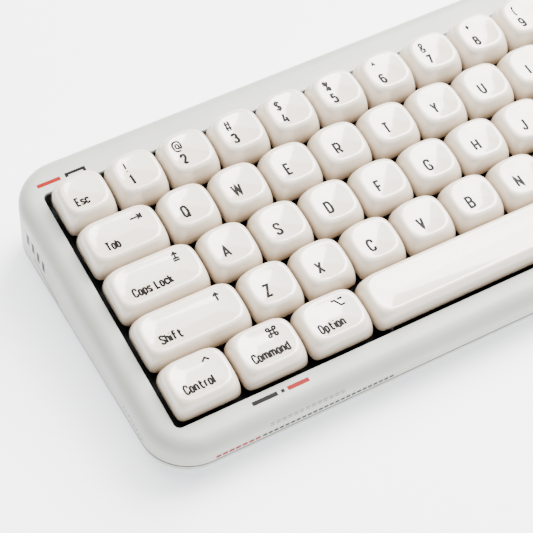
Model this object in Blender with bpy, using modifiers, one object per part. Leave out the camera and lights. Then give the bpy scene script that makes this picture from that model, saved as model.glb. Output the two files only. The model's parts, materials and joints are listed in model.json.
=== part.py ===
"""A mechanical keyboard of 64 keys: a wedge-shaped case, a switch plate, keys that press, and the parts inside.

Metres, +Z up, +X to the right along the rows, +Y to the rear. The origin is at the middle of the footprint, on
the surface that the feet stand on. The deck is the tilted plane of the keys. In its own frame x and y run from
the front left corner of the key grid, and z is 0 on the flat top face of the case.
"""

import math

import bmesh
import bpy
from mathutils import Matrix, Vector

# Key grid
PITCH = 0.01905
COLUMNS = 15
ROWS = 5
TILT = math.radians(7.5)
TRAVEL = 0.004

# Each row from the rear to the front: the key's name and its width in pitches
KEY_ROWS = (
    (("esc", 1), ("1", 1), ("2", 1), ("3", 1), ("4", 1), ("5", 1), ("6", 1), ("7", 1), ("8", 1), ("9", 1),
     ("0", 1), ("minus", 1), ("equals", 1), ("backspace", 2)),
    (("tab", 1.5), ("q", 1), ("w", 1), ("e", 1), ("r", 1), ("t", 1), ("y", 1), ("u", 1), ("i", 1),
     ("o", 1), ("p", 1), ("open_bracket", 1), ("close_bracket", 1), ("backslash", 1.5)),
    (("caps_lock", 1.75), ("a", 1), ("s", 1), ("d", 1), ("f", 1), ("g", 1), ("h", 1), ("j", 1),
     ("k", 1), ("l", 1), ("semicolon", 1), ("quote", 1), ("enter", 2.25)),
    (("left_shift", 2), ("z", 1), ("x", 1), ("c", 1), ("v", 1), ("b", 1), ("n", 1), ("m", 1), ("comma", 1),
     ("period", 1), ("slash", 1), ("right_shift", 1), ("up_arrow", 1), ("delete", 1)),
    (("left_control", 1.25), ("left_command", 1.25), ("left_option", 1.25), ("space", 6.25),
     ("right_option", 1), ("function", 1), ("left_arrow", 1), ("down_arrow", 1), ("right_arrow", 1)),
)
# Keys that share one node, joined skirt to skirt
JOINED_KEYS = {
    "keys_0_to_equals": ("0", "minus", "equals"),
    "keys_o_to_close_bracket": ("o", "p", "open_bracket", "close_bracket"),
    "keys_k_to_quote": ("k", "l", "semicolon", "quote"),
    "keys_m_to_slash": ("m", "comma", "period", "slash"),
    "keys_right_shift_to_delete": ("right_shift", "up_arrow", "delete"),
    "keys_right_option_to_right_arrow": ("right_option", "function", "left_arrow", "down_arrow", "right_arrow"),
}
BAR_HALF_LENGTH = 0.0010
BAR_HALF_WIDTH = 0.0030
BAR_Z = (0.0004, 0.0022)

# Case, measured from the edge of the key opening
OPENING_GAP = 0.00095
BEZEL_SIDE = 0.0086
BEZEL_FRONT = 0.0100
BEZEL_REAR = 0.0134
CORNER_RADIUS = 0.0165
TOP_ROUND = 0.0055
BASE_ROUND = 0.0070
FRONT_HEIGHT = 0.0181
WALL = 0.0025
FLOOR = 0.0020
LIP = 0.0016
STAND = 0.0016
GAP = 0.0003
SEAM_GAP = 0.0004

# Keycaps, from the bottom of the skirt
CAP_GAP = 0.0008
CAP_HEIGHTS = (0.0099, 0.0086, 0.0080, 0.0080, 0.0079)
CAP_DISH = 0.0006
CAP_ROOF = 0.0022
CAP_WALL = 0.0012
SKIRT_Z = -0.0006
POST_HALF = 0.0021
POST_DROP = 0.0041

# Switches, plate and boards, as deck z
PLATE_TOP = -0.0074
PLATE_THICKNESS = 0.0015
PLATE_MARGIN = 0.00165
HOUSING = 0.0139
HOUSING_TOP = 0.0110
HOUSING_TOP_Z = -0.0010
HOUSING_BOTTOM_Z = -0.0121
WELL_HALF = 0.0025
WELL_BOTTOM_Z = -0.0095
BOARD_TOP = -0.0124
BOARD_THICKNESS = 0.0016

# Spacebar stabiliser
STABILISER_REACH = 0.050
WIRE_RADIUS = 0.0008
WIRE_LEG = 0.0083
WIRE_RISE = math.radians(35)
WIRE_BAR_Y = 0.0012
WIRE_BAR_Z = -0.0062
WIRE_OUTSET = 0.0026
TAB_THICKNESS = 0.0016

# Screws and their bosses
SCREW_COLUMNS = (1.5, 13.5)
BOSS_RADIUS = 0.0020
BOSS_FRONT_Y = -0.0064
BOSS_REAR_Y = 0.1010
BOSS_CLEAR = 0.0030
SCREW_SHAFT = 0.00095
SCREW_HEAD = 0.0019
SCREW_HEAD_DEPTH = 0.0012
SCREW_LENGTH = 0.0085

PORT_WIDTH = 0.0089
PORT_HEIGHT = 0.0032
PORT_DEPTH = 0.0075
PORT_Z = -0.0150
BATTERY = (0.080, 0.034, 0.0055)
FOOT_LENGTH = 0.230
FOOT_WIDTH = 0.0075
FOOT_RECESS = 0.0008

GRID_X = COLUMNS * PITCH
GRID_Y = ROWS * PITCH
FRONT_Y = -OPENING_GAP - BEZEL_FRONT
REAR_Y = GRID_Y + OPENING_GAP + BEZEL_REAR
SEAM = BASE_ROUND


def base_z(y):
    """Deck z of the flat underside of the case at a deck y."""
    return -(FRONT_HEIGHT + (y - FRONT_Y) * math.tan(TILT))


def rounded_rectangle(x0, x1, y0, y1, radius, corner_steps):
    points = []
    corners = ((x1, y1, 0), (x0, y1, 90), (x0, y0, 180), (x1, y0, 270))
    for x, y, start in corners:
        centre_x = x - radius if x == x1 else x + radius
        centre_y = y - radius if y == y1 else y + radius
        for step in range(corner_steps + 1):
            angle = math.radians(start + 90 * step / corner_steps)
            points.append((centre_x + radius * math.cos(angle), centre_y + radius * math.sin(angle)))
    return points


def around_opening(side, front, rear, radius, height_of, corner_steps=4):
    """A closed loop at the given distances outside the key opening. height_of gives z from y."""
    outline = rounded_rectangle(
        -OPENING_GAP - side, GRID_X + OPENING_GAP + side,
        -OPENING_GAP - front, GRID_Y + OPENING_GAP + rear,
        radius, corner_steps,
    )
    return [Vector((x, y, height_of(y))) for x, y in outline]


def case_loop(inset, height_of):
    """The case's outer outline, drawn in by inset."""
    return around_opening(
        BEZEL_SIDE - inset, BEZEL_FRONT - inset, BEZEL_REAR - inset, CORNER_RADIUS - inset, height_of
    )


def below_top(depth):
    return lambda y: -depth


def above_base(height):
    return lambda y: base_z(y) + height


def top_case_loops():
    """Round the shell's section: top face, rounded edge, outer wall, inner wall, ceiling and key-opening lip."""
    loops = [around_opening(0, 0, 0, 0.001, below_top(0))]
    round_steps = 4
    for step in range(round_steps + 1):
        angle = math.pi / 2 * step / round_steps
        loops.append(case_loop(TOP_ROUND * (1 - math.sin(angle)), below_top(TOP_ROUND * (1 - math.cos(angle)))))
    loops.append(case_loop(0, above_base(SEAM + SEAM_GAP)))
    loops.append(case_loop(WALL, above_base(SEAM + SEAM_GAP)))
    loops.append(case_loop(WALL, below_top(2 * WALL)))
    loops.append(case_loop(2 * WALL, below_top(WALL)))
    loops.append(around_opening(LIP, LIP, LIP, 0.002, below_top(WALL)))
    loops.append(around_opening(LIP, LIP, LIP, 0.002, below_top(-PLATE_TOP - GAP)))
    loops.append(around_opening(0, 0, 0, 0.001, below_top(-PLATE_TOP - GAP)))
    return loops


def bottom_case_loops():
    """From the inner floor up to the rim, then down the outside to the flat underside."""
    round_steps = 3
    inner = []
    outer = []
    for step in range(round_steps + 1):
        angle = math.pi / 2 * step / round_steps
        inner_round = BASE_ROUND - WALL
        inner.append(case_loop(
            WALL + inner_round * (1 - math.cos(angle)),
            above_base(FLOOR + (SEAM - FLOOR) * (1 - math.sin(angle))),
        ))
        outer.append(case_loop(
            BASE_ROUND * (1 - math.cos(angle)), above_base(BASE_ROUND * (1 - math.sin(angle)))
        ))
    return inner[::-1] + outer


def deck_matrix():
    """The deck's place: tilted, centred on the footprint, with the case's underside STAND above the desk."""
    turn = Matrix.Rotation(TILT, 4, "X")
    reach = [(turn @ point).y for loop in top_case_loops() + bottom_case_loops() for point in loop]
    lift = STAND - (turn @ Vector((0, FRONT_Y, base_z(FRONT_Y)))).z
    return Matrix.Translation((-GRID_X / 2, -(max(reach) + min(reach)) / 2, lift)) @ turn


def clear_scene():
    for obj in list(bpy.data.objects):
        bpy.data.objects.remove(obj)


def new_collection(name):
    collection = bpy.data.collections.new(name)
    bpy.context.scene.collection.children.link(collection)
    return collection


def material(name, color, roughness, metallic=0.0):
    made = bpy.data.materials.new(name)
    made.use_nodes = True
    shader = made.node_tree.nodes["Principled BSDF"]
    shader.inputs["Base Color"].default_value = (*color, 1)
    shader.inputs["Roughness"].default_value = roughness
    shader.inputs["Metallic"].default_value = metallic
    made.diffuse_color = (*color, 1)
    return made


def mesh_of(bm, name):
    bmesh.ops.recalc_face_normals(bm, faces=bm.faces)
    if bm.calc_volume(signed=True) < 0:
        bmesh.ops.reverse_faces(bm, faces=bm.faces)
    mesh = bpy.data.meshes.new(name)
    bm.to_mesh(mesh)
    bm.free()
    return mesh


def add_loft(bm, loops, ring=False):
    """Skins the loops in order. The ends are closed by faces, or joined to each other in a ring."""
    rows = [[bm.verts.new(point) for point in loop] for loop in loops]
    pairs = list(zip(rows, rows[1:]))
    if ring:
        pairs.append((rows[-1], rows[0]))
    else:
        bm.faces.new(rows[0])
        bm.faces.new(rows[-1])
    for first, second in pairs:
        for index in range(len(first)):
            after = (index + 1) % len(first)
            bm.faces.new((first[index], first[after], second[after], second[index]))


def add_box(bm, low, high):
    size = Vector(high) - Vector(low)
    middle = (Vector(high) + Vector(low)) / 2
    bmesh.ops.create_cube(bm, size=1, matrix=Matrix.Translation(middle) @ Matrix.Diagonal((*size, 1)))


def add_cylinder(bm, centre, z0, z1, radius, segments=10):
    place = Matrix.Translation((centre[0], centre[1], (z0 + z1) / 2))
    bmesh.ops.create_cone(
        bm, cap_ends=True, segments=segments, radius1=radius, radius2=radius, depth=z1 - z0, matrix=place
    )


def circle_loop(centre, radius, z, segments=10):
    angles = [2 * math.pi * step / segments for step in range(segments)]
    return [Vector((centre.x + radius * math.cos(a), centre.y + radius * math.sin(a), z)) for a in angles]


def add_object(name, mesh, collection, parent=None, location=(0, 0, 0), surface=None):
    obj = bpy.data.objects.new(name, mesh)
    collection.objects.link(obj)
    obj.parent = parent
    obj.location = location
    if surface:
        mesh.materials.clear()
        mesh.materials.append(surface)
    return obj


def add_helper(name, bm, parent=None, location=(0, 0, 0)):
    """A cutter, or a shape to be joined on. It isn't a part."""
    obj = add_object(name, mesh_of(bm, name), HELPERS, parent, location)
    obj.hide_render = True
    obj.display_type = "WIRE"
    return obj


def combine(obj, other, operation):
    modifier = obj.modifiers.new(f"{operation.lower()}_{other.name}", "BOOLEAN")
    modifier.operation = operation
    modifier.solver = "EXACT"
    modifier.object = other


def shade_smooth(mesh, angle=35):
    mesh.shade_smooth()
    mesh.set_sharp_from_angle(angle=math.radians(angle))


def key_places():
    """Each key's width in pitches, its height, and the deck x and y of its middle, by name."""
    places = {}
    for row, (keys, height) in enumerate(zip(KEY_ROWS, CAP_HEIGHTS)):
        left = 0
        for name, width in keys:
            places[name] = (width, height, (left + width / 2) * PITCH, (ROWS - row - 0.5) * PITCH)
            left += width
    return places


def cap_loop(half_x, half_y, inset, z, offset, radius):
    outline = rounded_rectangle(-half_x + inset, half_x - inset, -half_y + inset, half_y - inset, radius, 1)
    return [Vector((x + offset, y, z)) for x, y in outline]


def keycap_loops(width, height, offset):
    """From the dished top down the outside, up the inside of the skirt, and down the slider post."""
    half_x = (width * PITCH - CAP_GAP) / 2
    half_y = (PITCH - CAP_GAP) / 2
    post = [Vector((x + offset, y, 0)) for x, y in rounded_rectangle(
        -POST_HALF, POST_HALF, -POST_HALF, POST_HALF, POST_HALF / 3, 1)]
    ceiling = Vector((0, 0, height - CAP_ROOF))
    drop = Vector((0, 0, POST_DROP))
    return [
        cap_loop(half_x, half_y, 0.0048, height - CAP_DISH, offset, 0.0026),
        cap_loop(half_x, half_y, 0.0031, height, offset, 0.0036),
        cap_loop(half_x, half_y, 0.0013, height - 0.0010, offset, 0.0044),
        cap_loop(half_x, half_y, 0.0003, height * 0.5, offset, 0.0040),
        cap_loop(half_x, half_y, 0, 0, offset, 0.0032),
        cap_loop(half_x, half_y, CAP_WALL, 0, offset, 0.0022),
        cap_loop(half_x, half_y, 0.0034, height - CAP_ROOF, offset, 0.0018),
        [point + ceiling for point in post],
        [point - drop for point in post],
    ]


def key_mesh(name, caps):
    """One or more keycaps with their switch sliders. caps lists each one's width, height and x offset."""
    bm = bmesh.new()
    for width, height, offset in caps:
        add_loft(bm, keycap_loops(width, height, offset))
    mesh = mesh_of(bm, name)
    shade_smooth(mesh, 50)
    return mesh


def join_skirts(obj, caps):
    """Short bars across the gaps between neighbouring skirts, which make the keys one body."""
    bm = bmesh.new()
    for width, _, offset in caps[:-1]:
        boundary = offset + width * PITCH / 2
        add_box(bm, (boundary - BAR_HALF_LENGTH, -BAR_HALF_WIDTH, BAR_Z[0]),
                (boundary + BAR_HALF_LENGTH, BAR_HALF_WIDTH, BAR_Z[1]))
    combine(obj, add_helper(f"{obj.name}_bars", bm, DECK, obj.location), "UNION")


def make_keys(surface):
    places = key_places()
    grouped = {name for names in JOINED_KEYS.values() for name in names}
    meshes = {}
    for name, (width, height, x, y) in places.items():
        if name in grouped:
            continue
        if (width, height) not in meshes:
            meshes[width, height] = key_mesh(f"keycap_{width}", [(width, height, 0)])
        add_object(f"key_{name}", meshes[width, height], PARTS, DECK, (x, y, SKIRT_Z), surface)
    for node, names in JOINED_KEYS.items():
        _, _, first_x, y = places[names[0]]
        caps = [(*places[name][:2], places[name][2] - first_x) for name in names]
        obj = add_object(node, key_mesh(node, caps), PARTS, DECK, (first_x, y, SKIRT_Z), surface)
        join_skirts(obj, caps)


def tab_span():
    """Deck y and z limits of the slot in a spacebar tab, which the wire's end slides along."""
    pressed = math.asin(math.sin(WIRE_RISE) - TRAVEL / WIRE_LEG)
    clear = WIRE_RADIUS + 0.00045
    low_y = WIRE_BAR_Y + WIRE_LEG * math.cos(WIRE_RISE) - clear
    high_y = WIRE_BAR_Y + WIRE_LEG * math.cos(pressed) + clear
    middle_z = WIRE_BAR_Z + WIRE_LEG * math.sin(WIRE_RISE)
    return low_y, high_y, middle_z - clear, middle_z + clear


def add_spacebar_tabs():
    """Two slotted tabs that hang from the spacebar, where the stabiliser wire's ends hook in."""
    space = bpy.data.objects["key_space"]
    low_y, high_y, low_z, high_z = tab_span()
    tabs = bmesh.new()
    slots = bmesh.new()
    edge = 0.0009
    for side in (-1, 1):
        x = space.location.x + side * STABILISER_REACH
        half = TAB_THICKNESS / 2
        add_box(tabs, (x - half, low_y - edge, low_z - edge),
                (x + half, high_y + edge, SKIRT_Z + CAP_HEIGHTS[-1] - CAP_ROOF + 0.0005))
        add_box(slots, (x - 2 * half, low_y, low_z), (x + 2 * half, high_y, high_z))
    combine(space, add_helper("spacebar_tabs", tabs, DECK), "UNION")
    combine(space, add_helper("spacebar_slots", slots, DECK), "DIFFERENCE")


def make_stabiliser_wire(surface):
    """A bent wire. Its long bar lies on the hinge axis and its ends hook into the spacebar's tabs."""
    x = key_places()["space"][2]
    leg_y = WIRE_LEG * math.cos(WIRE_RISE)
    leg_z = WIRE_LEG * math.sin(WIRE_RISE)
    outer = STABILISER_REACH + WIRE_OUTSET
    inner = STABILISER_REACH - TAB_THICKNESS - 0.0004
    half = [(outer, 0, 0), (outer, leg_y, leg_z), (inner, leg_y, leg_z)]
    route = [(-a, b, c) for a, b, c in reversed(half)] + half
    curve = bpy.data.curves.new("spacebar_stabiliser_wire", "CURVE")
    curve.dimensions = "3D"
    curve.bevel_depth = WIRE_RADIUS
    curve.bevel_resolution = 2
    curve.use_fill_caps = True
    spline = curve.splines.new("POLY")
    spline.points.add(len(route) - 1)
    for point, place in zip(spline.points, route):
        point.co = (*place, 1)
    curve.materials.append(surface)
    obj = bpy.data.objects.new("spacebar_stabiliser_wire", curve)
    PARTS.objects.link(obj)
    obj.parent = DECK
    obj.location = (x, WIRE_BAR_Y, WIRE_BAR_Z)


def square_loop(x, y, half, z):
    return [Vector((x + a * half, y + b * half, z)) for a, b in ((1, 1), (-1, 1), (-1, -1), (1, -1))]


def make_switch_plate(surface):
    """The plate with its 64 switch housings, each with a square well for its slider, open at the top."""
    bm = bmesh.new()
    add_loft(bm, [
        around_opening(PLATE_MARGIN, PLATE_MARGIN, PLATE_MARGIN, 0.002, below_top(-z), 1)
        for z in (PLATE_TOP, PLATE_TOP - PLATE_THICKNESS)
    ])
    plate = add_object("switch_plate", mesh_of(bm, "switch_plate"), PARTS, DECK, surface=surface)
    housings = bmesh.new()
    wells = bmesh.new()
    for _, _, x, y in key_places().values():
        add_loft(housings, [
            square_loop(x, y, HOUSING_TOP / 2, HOUSING_TOP_Z),
            square_loop(x, y, HOUSING / 2, PLATE_TOP + 0.001),
            square_loop(x, y, HOUSING / 2, HOUSING_BOTTOM_Z),
        ])
        add_box(wells, (x - WELL_HALF, y - WELL_HALF, WELL_BOTTOM_Z),
                (x + WELL_HALF, y + WELL_HALF, HOUSING_TOP_Z + 0.001))
    low_y, high_y, _, _ = tab_span()
    space_x = key_places()["space"][2]
    for side in (-1, 1):
        x = space_x + side * STABILISER_REACH
        add_box(wells, (x - 0.004, low_y - 0.002, PLATE_TOP - 0.003), (x + 0.004, high_y + 0.002, PLATE_TOP + 0.001))
    combine(plate, add_helper("switch_housings", housings, DECK), "UNION")
    combine(plate, add_helper("slider_wells", wells, DECK), "DIFFERENCE")


def make_circuit_board(surface):
    bm = bmesh.new()
    add_loft(bm, [
        around_opening(-0.0005, -0.0005, -0.0005, 0.002, below_top(-z), 1)
        for z in (BOARD_TOP, BOARD_TOP - BOARD_THICKNESS)
    ])
    add_object("circuit_board", mesh_of(bm, "circuit_board"), PARTS, DECK, surface=surface)


def on_base(x, y):
    """World place of a point on the case's flat underside, from its deck x and y."""
    return deck_matrix() @ Vector((x, y, base_z(y)))


def screw_places():
    return {
        f"case_screw_{end}_{side}": on_base(column * PITCH, y)
        for end, y in (("front", BOSS_FRONT_Y), ("rear", BOSS_REAR_Y))
        for side, column in zip(("left", "right"), SCREW_COLUMNS)
    }


def boss_top(place):
    """World z just under the top case's ceiling, over a place on the underside."""
    local = deck_matrix().inverted() @ place
    return (deck_matrix() @ Vector((local.x, local.y, -WALL))).z + 0.0006


def add_top_bosses(top_case):
    bosses = bmesh.new()
    holes = bmesh.new()
    for place in screw_places().values():
        low = place.z + FLOOR + BOSS_CLEAR
        add_cylinder(bosses, place, low, boss_top(place), BOSS_RADIUS)
        add_cylinder(holes, place, low - 0.001, place.z + SCREW_LENGTH + 2 * GAP, SCREW_SHAFT + GAP, 8)
    combine(top_case, add_helper("top_bosses", bosses), "UNION")
    combine(top_case, add_helper("top_boss_holes", holes), "DIFFERENCE")


def add_bottom_posts(bottom_case):
    """Screw pads, posts under the circuit board, screw holes and the recesses for the feet."""
    posts = bmesh.new()
    cuts = bmesh.new()
    for place in screw_places().values():
        add_cylinder(posts, place, place.z + FLOOR / 2, place.z + FLOOR + BOSS_CLEAR - GAP, BOSS_RADIUS + 0.0004)
        shoulder = place.z + SCREW_HEAD_DEPTH + 2 * GAP
        add_loft(cuts, [
            circle_loop(place, SCREW_HEAD + GAP, place.z - 0.001),
            circle_loop(place, SCREW_HEAD + GAP, shoulder),
            circle_loop(place, SCREW_SHAFT + GAP, shoulder),
            circle_loop(place, SCREW_SHAFT + GAP, place.z + FLOOR + BOSS_CLEAR + 0.001),
        ])
    for column in (0.5, 5.0, 10.0, 14.5):
        for y in (1.0 * PITCH, 4.0 * PITCH):
            place = on_base(column * PITCH, y)
            board = deck_matrix() @ Vector((column * PITCH, y, BOARD_TOP - BOARD_THICKNESS))
            add_cylinder(posts, place, place.z + FLOOR / 2, board.z - 0.0009, 0.0022, 8)
    for place in foot_places().values():
        add_box(cuts, (-FOOT_LENGTH / 2 - GAP, place.y - FOOT_WIDTH / 2 - GAP, 0),
                (FOOT_LENGTH / 2 + GAP, place.y + FOOT_WIDTH / 2 + GAP, STAND + FOOT_RECESS))
    combine(bottom_case, add_helper("bottom_posts", posts), "UNION")
    combine(bottom_case, add_helper("bottom_cuts", cuts), "DIFFERENCE")


def foot_places():
    return {
        "front_foot": on_base(GRID_X / 2, 0.0030),
        "rear_foot": on_base(GRID_X / 2, GRID_Y - 0.0050),
    }


def port_place():
    """World place of the middle of the port's mouth, just inside the rear wall's outer face."""
    mouth = deck_matrix() @ Vector((GRID_X / 2, REAR_Y, PORT_Z))
    return mouth - Vector((0, 0.0012, 0))


def oblong_loop(centre, width, height, y):
    outline = rounded_rectangle(-width / 2, width / 2, -height / 2, height / 2, height / 2 * 0.98, 3)
    return [Vector((centre.x + x, y, centre.z + z)) for x, z in outline]


def make_case(top_surface, bottom_surface):
    top = bmesh.new()
    add_loft(top, top_case_loops(), ring=True)
    top_case = add_object("top_case", mesh_of(top, "top_case"), PARTS, DECK, surface=top_surface)
    shade_smooth(top_case.data)
    add_top_bosses(top_case)
    port = port_place()
    mouth = bmesh.new()
    add_loft(mouth, [
        oblong_loop(port, PORT_WIDTH + 2 * GAP, PORT_HEIGHT + 2 * GAP, port.y + reach)
        for reach in (-0.006, 0.006)
    ])
    combine(top_case, add_helper("port_mouth", mouth), "DIFFERENCE")
    bottom = bmesh.new()
    add_loft(bottom, bottom_case_loops())
    bottom_case = add_object("bottom_case", mesh_of(bottom, "bottom_case"), PARTS, DECK, surface=bottom_surface)
    shade_smooth(bottom_case.data)
    add_bottom_posts(bottom_case)


def make_usb_port(surface):
    """A metal shell open to the rear, with a tongue inside, on a small board."""
    port = port_place()
    shell = bmesh.new()
    wall = 0.0003
    add_loft(shell, [
        oblong_loop(port, PORT_WIDTH, PORT_HEIGHT, port.y - PORT_DEPTH),
        oblong_loop(port, PORT_WIDTH, PORT_HEIGHT, port.y),
        oblong_loop(port, PORT_WIDTH - 2 * wall, PORT_HEIGHT - 2 * wall, port.y),
        oblong_loop(port, PORT_WIDTH - 2 * wall, PORT_HEIGHT - 2 * wall, port.y - PORT_DEPTH + 0.001),
    ])
    obj = add_object("usb_c_port", mesh_of(shell, "usb_c_port"), PARTS, surface=surface)
    extras = bmesh.new()
    add_box(extras, (port.x - 0.0034, port.y - PORT_DEPTH + 0.0005, port.z - 0.00035),
            (port.x + 0.0034, port.y - 0.0015, port.z + 0.00035))
    board = bmesh.new()
    add_box(board, (port.x - 0.0075, port.y - 0.0095, port.z - PORT_HEIGHT / 2 - 0.0009),
            (port.x + 0.0075, port.y - 0.0019, port.z - PORT_HEIGHT / 2 + 0.0001))
    combine(obj, add_helper("port_tongue", extras), "UNION")
    combine(obj, add_helper("port_board", board), "UNION")


def make_battery(surface):
    """A flat cell on the floor, between the posts under the circuit board."""
    rear = on_base(0, 4.3 * PITCH).y
    low_z = STAND + FLOOR + GAP
    bm = bmesh.new()
    add_box(bm, (-BATTERY[0] / 2, rear - BATTERY[1], low_z), (BATTERY[0] / 2, rear, low_z + BATTERY[2]))
    soften(add_object("battery", mesh_of(bm, "battery"), PARTS, surface=surface), 0.0012)


def soften(obj, width):
    bevel = obj.modifiers.new("bevel", "BEVEL")
    bevel.width = width
    bevel.segments = 2
    bevel.limit_method = "ANGLE"


def make_feet(surface):
    for name, place in foot_places().items():
        bm = bmesh.new()
        outline = rounded_rectangle(
            -FOOT_LENGTH / 2, FOOT_LENGTH / 2, -FOOT_WIDTH / 2, FOOT_WIDTH / 2, FOOT_WIDTH * 0.48, 4)
        add_loft(bm, [[Vector((x, y, z)) for x, y in outline] for z in (0, STAND + FOOT_RECESS - GAP)])
        add_object(name, mesh_of(bm, name), PARTS, None, (0, place.y, 0), surface)


def make_screws(surface):
    """Each screw is a turned profile: a low head with its shaft above it, up into the top case's boss."""
    profile = (
        (0, SCREW_LENGTH), (SCREW_SHAFT, SCREW_LENGTH), (SCREW_SHAFT, SCREW_HEAD_DEPTH + GAP),
        (SCREW_HEAD, SCREW_HEAD_DEPTH + GAP), (SCREW_HEAD, GAP), (0, GAP),
    )
    mesh = bpy.data.meshes.new("case_screw")
    edges = [(index, index + 1) for index in range(len(profile) - 1)]
    mesh.from_pydata([(radius, 0, z) for radius, z in profile], edges, [])
    for name, place in screw_places().items():
        obj = add_object(name, mesh, PARTS, None, place, surface)
        turn = obj.modifiers.new("turn", "SCREW")
        turn.steps = 10
        turn.render_steps = 10
        turn.use_merge_vertices = True
        turn.merge_threshold = 0.00001


clear_scene()
PARTS = new_collection("mechanical_keyboard")
HELPERS = new_collection("helpers")
DECK = bpy.data.objects.new("deck", None)
PARTS.objects.link(DECK)
DECK.matrix_world = deck_matrix()

case_grey = material("case_grey", (0.73, 0.73, 0.70), 0.42)
base_grey = material("base_grey", (0.62, 0.62, 0.60), 0.5)
keycap_ivory = material("keycap_ivory", (0.87, 0.84, 0.79), 0.12)
plate_black = material("plate_black", (0.02, 0.02, 0.022), 0.4)
board_green = material("board_green", (0.02, 0.10, 0.05), 0.45)
battery_wrap = material("battery_wrap", (0.10, 0.12, 0.16), 0.4)
steel = material("steel", (0.60, 0.60, 0.62), 0.25, 1.0)
foot_rubber = material("foot_rubber", (0.03, 0.03, 0.03), 0.85)

make_case(case_grey, base_grey)
make_keys(keycap_ivory)
add_spacebar_tabs()
make_stabiliser_wire(steel)
make_switch_plate(plate_black)
make_circuit_board(board_green)
make_battery(battery_wrap)
make_usb_port(steel)
make_feet(foot_rubber)
make_screws(steel)
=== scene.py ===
"""The looks of the mechanical keyboard: glossy ivory keycaps with printed legends in a satin grey case."""

import json
import math

import bmesh
import bpy
from mathutils import Matrix, Vector
from mathutils.bvhtree import BVHTree


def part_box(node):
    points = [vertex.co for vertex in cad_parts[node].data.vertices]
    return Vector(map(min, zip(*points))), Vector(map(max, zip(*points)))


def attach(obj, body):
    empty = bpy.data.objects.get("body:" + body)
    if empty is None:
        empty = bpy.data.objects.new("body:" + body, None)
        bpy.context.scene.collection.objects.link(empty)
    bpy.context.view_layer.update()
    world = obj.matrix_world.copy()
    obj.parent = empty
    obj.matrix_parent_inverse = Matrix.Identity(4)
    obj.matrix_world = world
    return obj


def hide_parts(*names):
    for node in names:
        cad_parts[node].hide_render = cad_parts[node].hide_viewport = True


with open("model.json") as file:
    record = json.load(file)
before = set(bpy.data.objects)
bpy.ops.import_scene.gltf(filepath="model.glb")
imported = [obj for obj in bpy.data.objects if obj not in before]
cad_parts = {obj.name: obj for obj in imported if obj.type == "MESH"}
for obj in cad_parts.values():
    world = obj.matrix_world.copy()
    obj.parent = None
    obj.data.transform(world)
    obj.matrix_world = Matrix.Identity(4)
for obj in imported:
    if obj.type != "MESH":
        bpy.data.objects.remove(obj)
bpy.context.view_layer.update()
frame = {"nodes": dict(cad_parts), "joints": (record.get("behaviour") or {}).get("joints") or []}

MM = 0.001
PITCH = 19.05 * MM
ROWS = 5
COLUMNS = 15

# Case, as in the CAD model, measured from the edge of the key opening
OPENING_GAP = 0.95 * MM
OPENING_RADIUS = 2.0 * MM
BEZEL_SIDE = 8.6 * MM
BEZEL_FRONT = 10.0 * MM
BEZEL_REAR = 13.4 * MM
CORNER_RADIUS = 16.5 * MM
TOP_ROUND = 5.5 * MM
BASE_ROUND = 7.0 * MM
FRONT_HEIGHT = 18.1 * MM
WALL = 2.5 * MM
FLOOR = 2.0 * MM
LIP = 1.6 * MM
SEAM_GAP = 0.4 * MM
PLATE_TOP = 7.4 * MM
CORNER_STEPS = 14
SHELL_EDGE = 0.35 * MM
# Painted shade: a thin dark sheet on the walls of the key well, where it lies in shadow
SHADE_SHEET_TOP = 1.0 * MM
SHADE_SHEET_THICKNESS = 0.15 * MM
PORT_HEIGHT = 3.2 * MM
PORT_EDGE = 0.1 * MM
PORT_WALL = 0.3 * MM
PORT_BACK = 1.0 * MM
TONGUE_DEPTH = 1.5 * MM
TONGUE_HALF_THICKNESS = 0.35 * MM
SCREW_SHAFT = 0.95 * MM
SCREW_HEAD_DEPTH = 1.5 * MM
SCREW_SOCKET_DEPTH = 0.8 * MM
SCREW_POINTS = 48
CLEARANCE = 0.3 * MM
SCREWS = [f"case_screw_{end}_{side}" for end in ("front", "rear") for side in ("left", "right")]
FEET = ("front_foot", "rear_foot")
GRID_X = COLUMNS * PITCH
GRID_Y = ROWS * PITCH

# Keycaps, from the bottom of the skirt, with the row at the rear first
CAP_GAP = 0.8 * MM
CAP_POINTS = 56
CAP_HEIGHTS = [9.9 * MM, 8.6 * MM, 8.0 * MM, 8.0 * MM, 7.9 * MM]
SKIRT_Z = -0.6 * MM
SIDE_LEAN = 1.05 * MM
SIDE_BULGE = 2.8
EDGE_RADIUS = 1.7 * MM
DISH_SLOPE = math.radians(10)
BASE_SQUARENESS = 6.5
TOP_SQUARENESS = 2.75
DISH_SQUARENESS = 2.2
DISH_RINGS = (0.88, 0.76, 0.64, 0.52, 0.4, 0.28, 0.16, 0.05)
SKIRT_EDGE = ((0.25 * MM, 0.0), (0.06 * MM, 0.15 * MM))
CAP_WALL = 1.2 * MM
CAP_ROOF = 2.2 * MM
# The hollow under a keycap: inset from the wall, squareness, and height as a share of the ceiling's
CAP_HOLLOW = ((0, 5.2, 0), (0.6 * MM, 4.8, 0.6), (2.0 * MM, 4.4, 1))
# The switch's slider, from the bottom of the skirt
SLIDER_HALF = 2.1 * MM
SLIDER_SHOULDER_HALF = 2.625 * MM
SLIDER_SHOULDER = (4.4 * MM, 3.9 * MM)
SLIDER_END = (-3.9 * MM, -4.1 * MM)

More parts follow.
